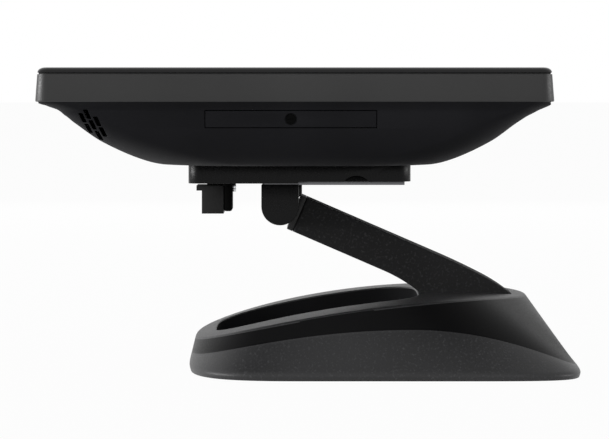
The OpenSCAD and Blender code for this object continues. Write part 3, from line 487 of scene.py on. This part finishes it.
def show_solid(name, obj):
    material = MATERIALS[FINISHES.get(name, slot_of[name])]
    if not obj.material_slots:
        obj.data.materials.append(material)
    for material_slot in obj.material_slots:
        material_slot.material = material
    dress(obj, EDGES.get(name, USUAL_EDGE))


for name, obj in frame["nodes"].items():
    if name not in REPLACED:
        show_solid(name, obj)


# ---- bezel and touch glass ----

# Plan radii of the band, its inside and the glass, before their insets are taken off
HEAD_CORNER, POCKET_CORNER, GLASS_CORNER = 8, 10, 7.7
BAND_DRAFT = 1.2                # how far the band comes in from its lower edge to its top
BAND_WALL = 2.8
BAND_FOOT = (0, 0.5), (0.25, 0.15), (0.8, 0)   # rounding of the lower edge: height, and how far in
WINDOW_RIM = 16, 20             # how much wider and longer the display module is than the bezel's window
WINDOW_CORNER = 3
BOSS_RADIUS, BOSS_BORE = 4.5, 1.6   # radii of the screw bosses and their bores
BOSS_ROOT, BORE_END = 0.5, 1    # how far a boss runs into the flange, and a bore past its screw's tip
GLASS_EDGE = 4.5, 3             # width and height of the rounding round the glass
GLASS_SIDE = 1.0                # how far the glass lies inside the solid's side
GLASS_CHAMFER = 0.3, 0.2        # width and height of the chamfer at its foot
HEAD_STEPS, WINDOW_STEPS, GLASS_STEPS = 14, 6, 9   # in the corners of the head and window, and up the glass
COVER_SCREWS = [f"cover_screw_{i}" for i in (1, 2, 3, 4)]


def head_loop(node, inset, z, corner):
    low, high = corners_of(node)
    width, depth = high[0] - low[0] - 2 * inset, high[1] - low[1] - 2 * inset
    return rounded_loop(width, depth, corner - inset, (low[1] + high[1]) / 2, z, HEAD_STEPS)


def bezel_frame():
    """The side band, drawn in towards its top, with a flange round the picture and bosses for the screws."""
    foot = corners_of("front_bezel")[0][2]
    top = corners_of("glass_gasket")[0][2]
    panel_low, panel_high = corners_of("lcd_panel")
    under = panel_high[2]
    outside = [(foot + rise, inset) for rise, inset in BAND_FOOT] + [(top, BAND_DRAFT)]
    band = make("bezel_frame", loft([head_loop("front_bezel", i, z, HEAD_CORNER) for z, i in outside]))
    inside = [(foot - OVERCUT, BAND_WALL), (under, BAND_WALL + BAND_DRAFT)]
    combine(band, loft([head_loop("front_bezel", i, z, POCKET_CORNER) for z, i in inside]), "DIFFERENCE")
    width, depth = panel_high[0] - panel_low[0] - WINDOW_RIM[0], panel_high[1] - panel_low[1] - WINDOW_RIM[1]
    middle = (panel_low[1] + panel_high[1]) / 2
    levels = (under - OVERCUT, top + OVERCUT)
    window = [rounded_loop(width, depth, WINDOW_CORNER, middle, z, WINDOW_STEPS) for z in levels]
    combine(band, loft(window), "DIFFERENCE")
    for screw in COVER_SCREWS:
        x, y, _ = middle_of(screw)
        tip = corners_of(screw)[1][2]
        combine(band, post(x, y, panel_low[2], under + BOSS_ROOT, BOSS_RADIUS), "UNION")
        combine(band, post(x, y, panel_low[2] - OVERCUT, tip + BORE_END, BOSS_BORE), "DIFFERENCE")
    finish_piece(band, "head", "bezel_plastic", "front_bezel", 0)


def glass_pane():
    """The touch glass, with the rounding of its upper edge."""
    low, high = corners_of("touch_glass")
    width, height = GLASS_EDGE
    outside = [(low[2], GLASS_SIDE + GLASS_CHAMFER[0]), (low[2] + GLASS_CHAMFER[1], GLASS_SIDE)]
    for k in range(1, GLASS_STEPS + 1):
        a = k / GLASS_STEPS * math.pi / 2
        outside.append((high[2] - height * (1 - math.sin(a)), GLASS_SIDE + width * (1 - math.cos(a))))
    pane = make("glass_pane", loft([head_loop("touch_glass", i, z, GLASS_CORNER) for z, i in outside]))
    finish_piece(pane, "head", "touch_glass", "touch_glass", 0)


# ---- rear cover and drive door ----

FRONT_RUN, REAR_RUN = 70, 67.5   # plan length of the front and rear slopes
SLOPE_POWER = 1.39
HOLLOW, HOLLOW_SHARE = 0.05, 0.5   # how much less deep a slope is near the band, and over what share of it
# The lip at the band: shares of a slope's run, and how far each is moved
FRONT_LIP = (0, 0), (0.026, -0.025), (0.06, 0.006), (0.12, 0.036), (0.2, 0.016), (0.28, 0.001), (0.36, 0)
REAR_LIP = (0, 0), (0.05, -0.046), (0.14, -0.021), (0.22, -0.005), (0.32, 0)
SIDE_LIP, SIDE_RUN = 5.5, 36     # how far the sides come in, at the lip and below it
LIP_DEPTH = 0.16                 # share of the cover's depth that the sides' lip takes
SIDE_POWER = 2.2
TOP_CORNER, CORNER_GROWTH = 12, 44   # plan radius at the band, and how much it grows down the slopes
LEVELS, CROWDING = 44, 1.2       # steps down the skin, and how much closer they lie near the band
COVER_STEPS = 20                 # in each corner
COVER_WALL = 2.6
GROOVE = 0.5                     # round the drive door
SHELL_EDGE = 0.25
BUTTON_HOLE, BUTTON_DEPTH = 5.35, 130   # radius, and how far from the middle the hole ends
THUMB_HOLE, THUMB_SINK = 3.6, 1.3       # radius, and how far the hole ends behind the thumb screw's face
SCREW_SINK, SCREW_SEAT = 3.6, 11        # radius of the screws' recesses, and how far they end below the tips
BAY_WIDTH, BAY_RUN, BAY_RISE = 160, 46, 20  # width, length and height over the cover's lowest point
PORT_SINK = 1                           # how far the sockets reach into the bay

VENT_FIRST = 26.2, -9.4          # first slot, from the cover's front and its upper edge
VENT_STEP, VENT_FALL = Vector((2.9, 2.1)), Vector((2.9, -6.3))   # to the next slot and to the next row
VENT_SHAPE = (-2.5, 2.8), (-0.2, -2.8), (2.5, -2.8), (0.2, 2.8)
VENT_ROUND = 0.6, 0.6, 4         # how far a corner's rounding reaches before and after it, and its steps
VENT_ROWS = (0, 1), (0, 1, 2), (1, 2)   # the slots that each row has
VENT_REACH = 40, 20              # how far the slots' cuts run in and out from the cover's side

cover_low, cover_high = corners_of("rear_cover")
door_low, door_high = corners_of("drive_door")
cover_width, cover_depth = cover_high[0] - cover_low[0], cover_high[1] - cover_low[1]
cover_y = middle_of("rear_cover")[1]
cover_top = corners_of("front_bezel")[0][2]
cover_drop = cover_top - cover_low[2]


def slope(s):
    """How far down the cover has come at a share s of its slope's run."""
    u = min(s / HOLLOW_SHARE, 1)
    return 1 - (1 - s) ** SLOPE_POWER - HOLLOW * math.sin(math.pi * u) * (1 - u ** 4)


def side_in(down):
    """How far in a side has come at a share of the cover's depth."""
    lip = SIDE_LIP * math.sin(math.pi / 2 * min(down / LIP_DEPTH, 1))
    return lip + SIDE_RUN * (1 - (1 - down ** SIDE_POWER) ** (1 / SIDE_POWER))


def stood_off(s, lip):
    """A share of a slope's run, moved by the lip at the band."""
    for (s0, c0), (s1, c1) in zip(lip, lip[1:]):
        if s < s1:
            t = (s - s0) / (s1 - s0)
            return s + c0 + (c1 - c0) * t * t * (3 - 2 * t)
    return s


def cover_form(inset, rise):
    """The cover as a solid bowl, drawn in by an inset and with its top face raised."""
    loops = []
    for k in range(LEVELS + 1):
        s = (k / LEVELS) ** CROWDING
        down = slope(s)
        front, rear = FRONT_RUN * stood_off(s, FRONT_LIP), REAR_RUN * stood_off(s, REAR_LIP)
        z = cover_top - down * (cover_drop - inset) + (rise if k == 0 else 0)
        width = cover_width - 2 * inset - 2 * side_in(down)
        depth = cover_depth - 2 * inset - front - rear
        radius = TOP_CORNER - inset + CORNER_GROWTH * s
        loops.append(rounded_loop(width, depth, radius, cover_y + (front - rear) / 2, z, COVER_STEPS))
    return loft(loops[::-1])


def vent_slots():
    """Slanted slots beside each speaker, in staggered rows."""
    first = Vector((cover_low[1] + VENT_FIRST[0], cover_top + VENT_FIRST[1]))
    inner, outer = cover_high[0] - VENT_REACH[0], cover_high[0] + VENT_REACH[1]
    slots = []
    for row, places in enumerate(VENT_ROWS):
        for i in places:
            corners = [first + i * VENT_STEP + row * VENT_FALL + Vector(p) for p in VENT_SHAPE]
            outline = []
            for j, corner in enumerate(corners):
                after = corners[(j + 1) % len(corners)]
                outline += rounded_corner(corners[j - 1], corner, after, *VENT_ROUND)
            slots += [slab(outline, inner, outer), slab(outline, -outer, -inner)]
    return slots


def bay_form(grow, reach):
    """The connector bay under the rear slope."""
    half, face = BAY_WIDTH / 2 + grow, corners_of("io_ports")[1][1] - PORT_SINK
    low = (-half, face - grow, cover_low[2] - BAY_RISE)
    return block(low, (half, face + BAY_RUN + reach, cover_low[2] + BAY_RISE + grow))


def cover_cuts():
    cuts = vent_slots()
    door_from = (0, door_low[1] - GROOVE, door_low[2] - GROOVE)
    cuts.append(block(door_from, (FAR, door_high[1] + GROOVE, door_high[2] + GROOVE)))
    _, y, z = middle_of("power_button")
    cuts.append(rod(-FAR, -BUTTON_DEPTH, y, z, BUTTON_HOLE))
    cuts.append(bay_form(0, 0))
    for screw in COVER_SCREWS:
        x, y, _ = middle_of(screw)
        cuts.append(post(x, y, 0, corners_of(screw)[1][2] - SCREW_SEAT, SCREW_SINK))
    return cuts


def rear_cover():
    cover = make("cover_shell", cover_form(0, 0))
    hollow = make("hollow", cover_form(COVER_WALL, OVERCUT))
    combine(hollow, bay_form(COVER_WALL, COVER_WALL), "DIFFERENCE")
    combine_with(cover, hollow, "DIFFERENCE")
    for cut in cover_cuts():
        combine(cover, cut, "DIFFERENCE")
    finish_piece(cover, "head", "cover_plastic", "rear_cover", SHELL_EDGE)


def drive_door():
    door = make("drive_bay_door", cover_form(0, 0))
    combine(door, cover_form(COVER_WALL, OVERCUT), "DIFFERENCE")
    combine(door, block((0, door_low[1], door_low[2]), (FAR, door_high[1], door_high[2])), "INTERSECT")
    _, y, z = middle_of("door_thumbscrew")
    face = corners_of("door_thumbscrew")[1][0]
    combine(door, rod(face - THUMB_SINK, FAR, y, z, THUMB_HOLE), "DIFFERENCE")
    finish_piece(door, "drive", "cover_plastic", "drive_door", SHELL_EDGE)


# ---- arm ----

ARM_DIP = 23.4                       # in degrees
ARM_OFFSET = 0.3                     # how far the arm's middle runs under the tilt shaft
ARM_THICK, ARM_WALL = 23, 2.4
ARM_EDGE, ARM_EDGE_STEPS = 1.4, 5    # radius and steps of the shells' outer edge
ARM_FROM = 13.6                      # where the shells start, from the tilt shaft
TOP_STRAIGHT, LOW_STRAIGHT = 92, 62.9
TOP_BENDS = (450, ARM_DIP + 4, 6), (110, ARM_DIP + 15, 8), (8, 90, 14)   # radius, dip at the end, steps
LOW_BENDS = (100, ARM_DIP + 20, 14), (8, 90, 10)
SEAM, SEAM_CHAMFER = 0.05, 0.15      # half of the gap between the shells, and its chamfer
MOUTH = 3                            # how far the opening at the hinge runs in and out

ALONG = Vector((math.cos(ARM_DIP * DEG), -math.sin(ARM_DIP * DEG)))
ABOVE = Vector((math.sin(ARM_DIP * DEG), math.cos(ARM_DIP * DEG)))
arm_low, arm_high = corners_of("arm_shell_right")
shell_start = Vector(middle_of("hinge_shaft")[1:]) - ARM_OFFSET * ABOVE + ARM_FROM * ALONG
top_start = shell_start + ARM_THICK / 2 * ABOVE
low_start = shell_start - ARM_THICK / 2 * ABOVE


def bent_side(start, straight, bends):
    """One side of the arm: a straight stretch, then arcs that turn steadily downwards."""
    points = [start, start + straight * ALONG]
    dip = ARM_DIP
    for radius, end_dip, steps in bends:
        centre = points[-1] - radius * Vector((math.sin(dip * DEG), math.cos(dip * DEG)))
        for i in range(1, steps + 1):
            a = (dip + (end_dip - dip) * i / steps) * DEG
            points.append(centre + radius * Vector((math.sin(a), math.cos(a))))
        dip = end_dip
    return points


def arm_outline():
    """The arm's side view, anticlockwise in Y and Z."""
    top = bent_side(top_start, TOP_STRAIGHT, TOP_BENDS)
    low = bent_side(low_start, LOW_STRAIGHT, LOW_BENDS)
    root = [Vector((top[-1].x, arm_low[2])), Vector((low[-1].x, arm_low[2]))]
    return (top + root + low[::-1])[::-1]


def arm_shell(side, node):
    """Half of the arm's skin, with a rounded outer edge and a fine seam along the middle."""
    half = arm_high[0]
    outline = arm_outline()
    shape = [(SEAM, -SEAM_CHAMFER), (SEAM + SEAM_CHAMFER, 0)]
    for k in range(ARM_EDGE_STEPS + 1):
        a = k / ARM_EDGE_STEPS * math.pi / 2
        shape.append((half - ARM_EDGE + ARM_EDGE * math.sin(a), ARM_EDGE * (math.cos(a) - 1)))
    loops = [[(x, p.x, p.y) for p in offset_outline(outline, grow)] for x, grow in shape]
    shell = make(f"arm_skin_{side}", loft(loops))
    mouth = [
        top_start + MOUTH * ALONG - ARM_WALL * ABOVE,
        top_start - MOUTH * ALONG - ARM_WALL * ABOVE,
        low_start - MOUTH * ALONG + ARM_WALL * ABOVE,
        low_start + MOUTH * ALONG + ARM_WALL * ABOVE,
    ]
    for cut in (offset_outline(outline, -ARM_WALL), mouth):
        combine(shell, slab(cut, -OVERCUT, half - ARM_WALL), "DIFFERENCE")
    if side == "left":
        shell.scale.x = -1
        shell.data.transform(shell.matrix_basis)
        shell.data.flip_normals()
        shell.scale.x = 1
    finish_piece(shell, "stand", "arm_plastic", node, SHELL_EDGE)


# ---- stand. Its outlines in plan are drawn on rays from one centre ----

RAY_Y = 7.2                      # the rays' centre
RAYS = 240
RIM_WIDTH, RIM_FRONT, RIM_REAR = 215, 76.2, 134.2   # its front and rear are measured from Y = 0
WELL_WIDTH, WELL_FRONT, WELL_REAR = 136, 70, 58     # and the well's from the rays' centre
TABLE_SQUARE, RIM_SQUARE, WELL_SQUARE = (3.6, 9), (2.6, 2.1), (4, 4)   # front and rear; 2 is an ellipse
RIM_REAR_HEIGHT, RIM_FRONT_HEIGHT = 46.8, 19.7   # at its highest place and at the front
CREST_Y = 100.2                  # where the rim is highest
CREASE_HEIGHT, CREASE_Y = 30, 57   # the crease's highest place
CREASE_FALL = 30.5, 21.5         # how far in front of that and behind it the crease has fallen by 1
CREASE_KNEE = 4                  # how much nearer the rim it lies at the sides
DECK_RISE = 0.8                  # how much higher the deck is at the well than at its outer edge
STAND_WALL = 2.8
SKIRT_HEIGHT, SKIRT_LEAN = 3, 1.2   # height of the steep foot of the skirt, and how far it comes in below
SKIRT_FOOT = 0.2                 # the skirt ends just above the table
# Roundings: how far they reach before and after the corner, and their steps
SKIRT_ROUND, CREASE_ROUND = (2, 3, 5), (1.8, 1.8, 4)
BROW_ROUND, LIP_ROUND = (1.5, 1.6, 5), (1.6, 1.5, 5)
DECK_STEPS = 6
POCKET_GAP = 0.25                # between the arm and the stand's deck
STAND_EDGE = 0.4
WALL_REACH = 0.2                 # a face this far past an edge still belongs to the wall there
WALL_TOP = 1.2                   # the walls' own materials, with their painted shade, end this far below the deck

stand_low, stand_high = corners_of("base_shell")


def reach(a, half_width, front, rear, square):
    """Distance from the ray centre to an outline in the direction a."""
    run, power = (front, square[0]) if math.sin(a) < 0 else (rear, square[1])
    return ((abs(math.cos(a)) / half_width) ** power + (abs(math.sin(a)) / run) ** power) ** (-1 / power)


def table_edge(a):
    return reach(a, stand_high[0], RAY_Y - stand_low[1], stand_high[1] - RAY_Y, TABLE_SQUARE)


def rim_edge(a):
    return reach(a, RIM_WIDTH / 2, RIM_FRONT + RAY_Y, RIM_REAR - RAY_Y, RIM_SQUARE)


def well_edge(a):
    return reach(a, WELL_WIDTH / 2, WELL_FRONT, WELL_REAR, WELL_SQUARE)


def crest(y):
    """Height of the rim."""
    fall = RIM_REAR_HEIGHT - RIM_FRONT_HEIGHT
    return RIM_REAR_HEIGHT - (y - CREST_Y) ** 2 * fall / (CREST_Y + RIM_FRONT) ** 2


def crease(y):
    """Height of the crease that parts the skirt from the steep wall under the rim."""
    return CREASE_HEIGHT - ((y - CREASE_Y) / CREASE_FALL[y >= CREASE_Y]) ** 2


def crease_edge(a):
    """The crease lies a little inside the straight line from rim to table, where its own surface cuts it."""
    rim, run = rim_edge(a), table_edge(a) - rim_edge(a)
    top = crest(RAY_Y + rim * math.sin(a))
    share = 0.5
    for _ in range(8):
        drop = top - crease(RAY_Y + (rim + run * share) * math.sin(a))
        share = drop / (top - stand_low[2] - SKIRT_HEIGHT)
    return rim + run * share - CREASE_KNEE * math.cos(a) ** 4


def deck_height(a, r):
    share = (rim_edge(a) - r) / (rim_edge(a) - well_edge(a))
    return crest(RAY_Y + r * math.sin(a)) + DECK_RISE * share


def stand_skin(a, inset):
    """(distance, height) up the outside, over the rim and down into the well."""
    rim, well, fold = rim_edge(a) - inset, well_edge(a) + inset, crease_edge(a) - inset
    foot = Vector((table_edge(a) - SKIRT_LEAN - inset, SKIRT_FOOT))
    skirt = Vector((table_edge(a) - inset, stand_low[2] + SKIRT_HEIGHT))
    knee = Vector((fold, crease(RAY_Y + fold * math.sin(a))))
    brow = Vector((rim, deck_height(a, rim) - inset))
    lip = Vector((well, deck_height(a, well) - inset))
    bottom = Vector((well, SKIRT_FOOT))
    points = [foot]
    points += rounded_corner(foot, skirt, knee, *SKIRT_ROUND)
    points += rounded_corner(skirt, knee, brow, *CREASE_ROUND)
    points += rounded_corner(knee, brow, lip, *BROW_ROUND)
    for k in range(1, DECK_STEPS):
        r = rim + (well - rim) * k / DECK_STEPS
        points.append(Vector((r, deck_height(a, r) - inset)))
    points += rounded_corner(brow, lip, bottom, *LIP_ROUND)
    points.append(bottom)
    return points


def wall_finish_and_painted_shade(x, y, z):
    """0 for the grained skin, 1 for the smooth wall above the crease, 2 for the well's wall. Walls 1 and 2
    are darker than the skin as painted shade.
    """
    a, r = math.atan2(y - RAY_Y, x), math.hypot(x, y - RAY_Y)
    if z > deck_height(a, r) - WALL_TOP:
        return 0
    if r < well_edge(a) + WALL_REACH:
        return 2
    return 1 if r > rim_edge(a) - WALL_REACH and z > crease(y) else 0


def stand_shell():
    sections = []
    for k in range(RAYS):
        a = 2 * math.pi * k / RAYS
        around = stand_skin(a, 0) + stand_skin(a, STAND_WALL)[::-1]
        sections.append([(p.x * math.cos(a), RAY_Y + p.x * math.sin(a), p.y) for p in around])
    shell = make("stand_shell", ring_loft(sections))
    half = arm_high[0] + POCKET_GAP
    combine(shell, slab(offset_outline(arm_outline(), POCKET_GAP), -half, half), "DIFFERENCE")
    finish_piece(shell, "stand", "stand_plastic", "base_shell", STAND_EDGE)
    shell.data.materials.append(MATERIALS["stand_smooth_painted_shade"])
    shell.data.materials.append(MATERIALS["well_painted_shade"])
    # The steep wall and the well's walls take the darker materials, painted shade
    for face in shell.data.polygons:
        face.material_index = wall_finish_and_painted_shade(*(c / MM for c in face.center))


bezel_frame()
glass_pane()
rear_cover()
drive_door()
arm_shell("right", "arm_shell_right")
arm_shell("left", "arm_shell_left")
stand_shell()


# ---- stage, in metres ----

CAMERA_PLACE = (2.0, -0.0068, 0.179)
CAMERA_PITCH = 2.47 * DEG
LENS, SENSOR = 184.4, 36         # in millimetres
AMBIENT = 0.12                   # the world's light on the object
FLOOR_SIZE, FLOOR_GREY = 60, 0.35
FLOOR_WHITE = 0.97               # share of plain white in the seen floor; the rest takes shadows
LAMP_AIM = Vector((0, 0, 0.1))
# Place, size, watts, and whether the lamp shows in glossy surfaces
LAMPS = {
    "front_strip": ((0.3, -2.6, 0.2), (1.8, 0.4), 45, True),
    "front_box": ((0.3, -2.6, 0.6), (1.8, 0.9), 40, False),
    "rear_strip": ((0.3, 2.6, 0.2), (1.8, 0.4), 17, True),
    "rear_box": ((0.3, 2.6, 0.6), (1.8, 0.9), 18, False),
    "right_box": ((2.6, 0, 0.6), (1.8, 1.2), 35, False),
    "left_box": ((-2.6, 0, 0.9), (1.8, 1.2), 40, False),
    "top_box": ((0, 0, 2.6), (2.0, 2.0), 14, False),
}


def area_lamp(name, place, size, watts, mirrored):
    data = bpy.data.lights.new(name, "AREA")
    data.shape = "RECTANGLE"
    data.size, data.size_y = size
    data.energy = watts
    lamp = bpy.data.objects.new(name, data)
    lamp.location = place
    lamp.visible_glossy = mirrored
    lamp.rotation_mode = "QUATERNION"
    lamp.rotation_quaternion = (LAMP_AIM - Vector(place)).to_track_quat("-Z", "Y")
    bpy.context.scene.collection.objects.link(lamp)


def seen_directly(tree):
    """1 for rays from the camera, and for mirror and glass rays, otherwise 0."""
    path = tree.nodes.new("ShaderNodeLightPath")
    seen = arithmetic(tree, "MAXIMUM", path.outputs["Is Camera Ray"], path.outputs["Is Glossy Ray"])
    return arithmetic(tree, "MAXIMUM", seen, path.outputs["Is Transmission Ray"])


def white_world():
    world = bpy.data.worlds.new("studio")
    world.use_nodes = True
    tree = world.node_tree
    background = tree.nodes["Background"]
    background.inputs["Color"].default_value = (1, 1, 1, 1)
    strength = remap(tree, seen_directly(tree), AMBIENT, 1, 0, 1)
    tree.links.new(strength, background.inputs["Strength"])
    bpy.context.scene.world = world


def pale_floor():
    """A pale floor that still takes the object's shadow."""
    bpy.ops.mesh.primitive_plane_add(size=FLOOR_SIZE, location=(0, 0, 0))
    floor = bpy.context.object
    floor.name = "floor"
    material, tree, shader, _ = new_material("floor")
    shader.inputs["Base Color"].default_value = (FLOOR_GREY, FLOOR_GREY, FLOOR_GREY, 1)
    shader.inputs["Roughness"].default_value = 0.9
    shader.inputs["Specular IOR Level"].default_value = 0.0
    glow = tree.nodes.new("ShaderNodeEmission")
    mix = tree.nodes.new("ShaderNodeMixShader")
    tree.links.new(remap(tree, seen_directly(tree), 0, FLOOR_WHITE, 0, 1), mix.inputs["Fac"])
    tree.links.new(shader.outputs[0], mix.inputs[1])
    tree.links.new(glow.outputs[0], mix.inputs[2])
    tree.links.new(mix.outputs[0], tree.nodes["Material Output"].inputs["Surface"])
    floor.data.materials.append(material)


def photo_camera():
    data = bpy.data.cameras.new("camera")
    data.sensor_width = SENSOR
    data.lens = LENS
    data.clip_end = 50
    camera = bpy.data.objects.new("camera", data)
    camera.location = CAMERA_PLACE
    camera.rotation_mode = "QUATERNION"
    view = Vector((-math.cos(CAMERA_PITCH), 0, -math.sin(CAMERA_PITCH)))
    camera.rotation_quaternion = view.to_track_quat("-Z", "Y")
    bpy.context.scene.collection.objects.link(camera)
    bpy.context.scene.camera = camera


bpy.context.scene.view_settings.view_transform = "Standard"
photo_camera()
white_world()
pale_floor()
for name, values in LAMPS.items():
    area_lamp(name, *values)
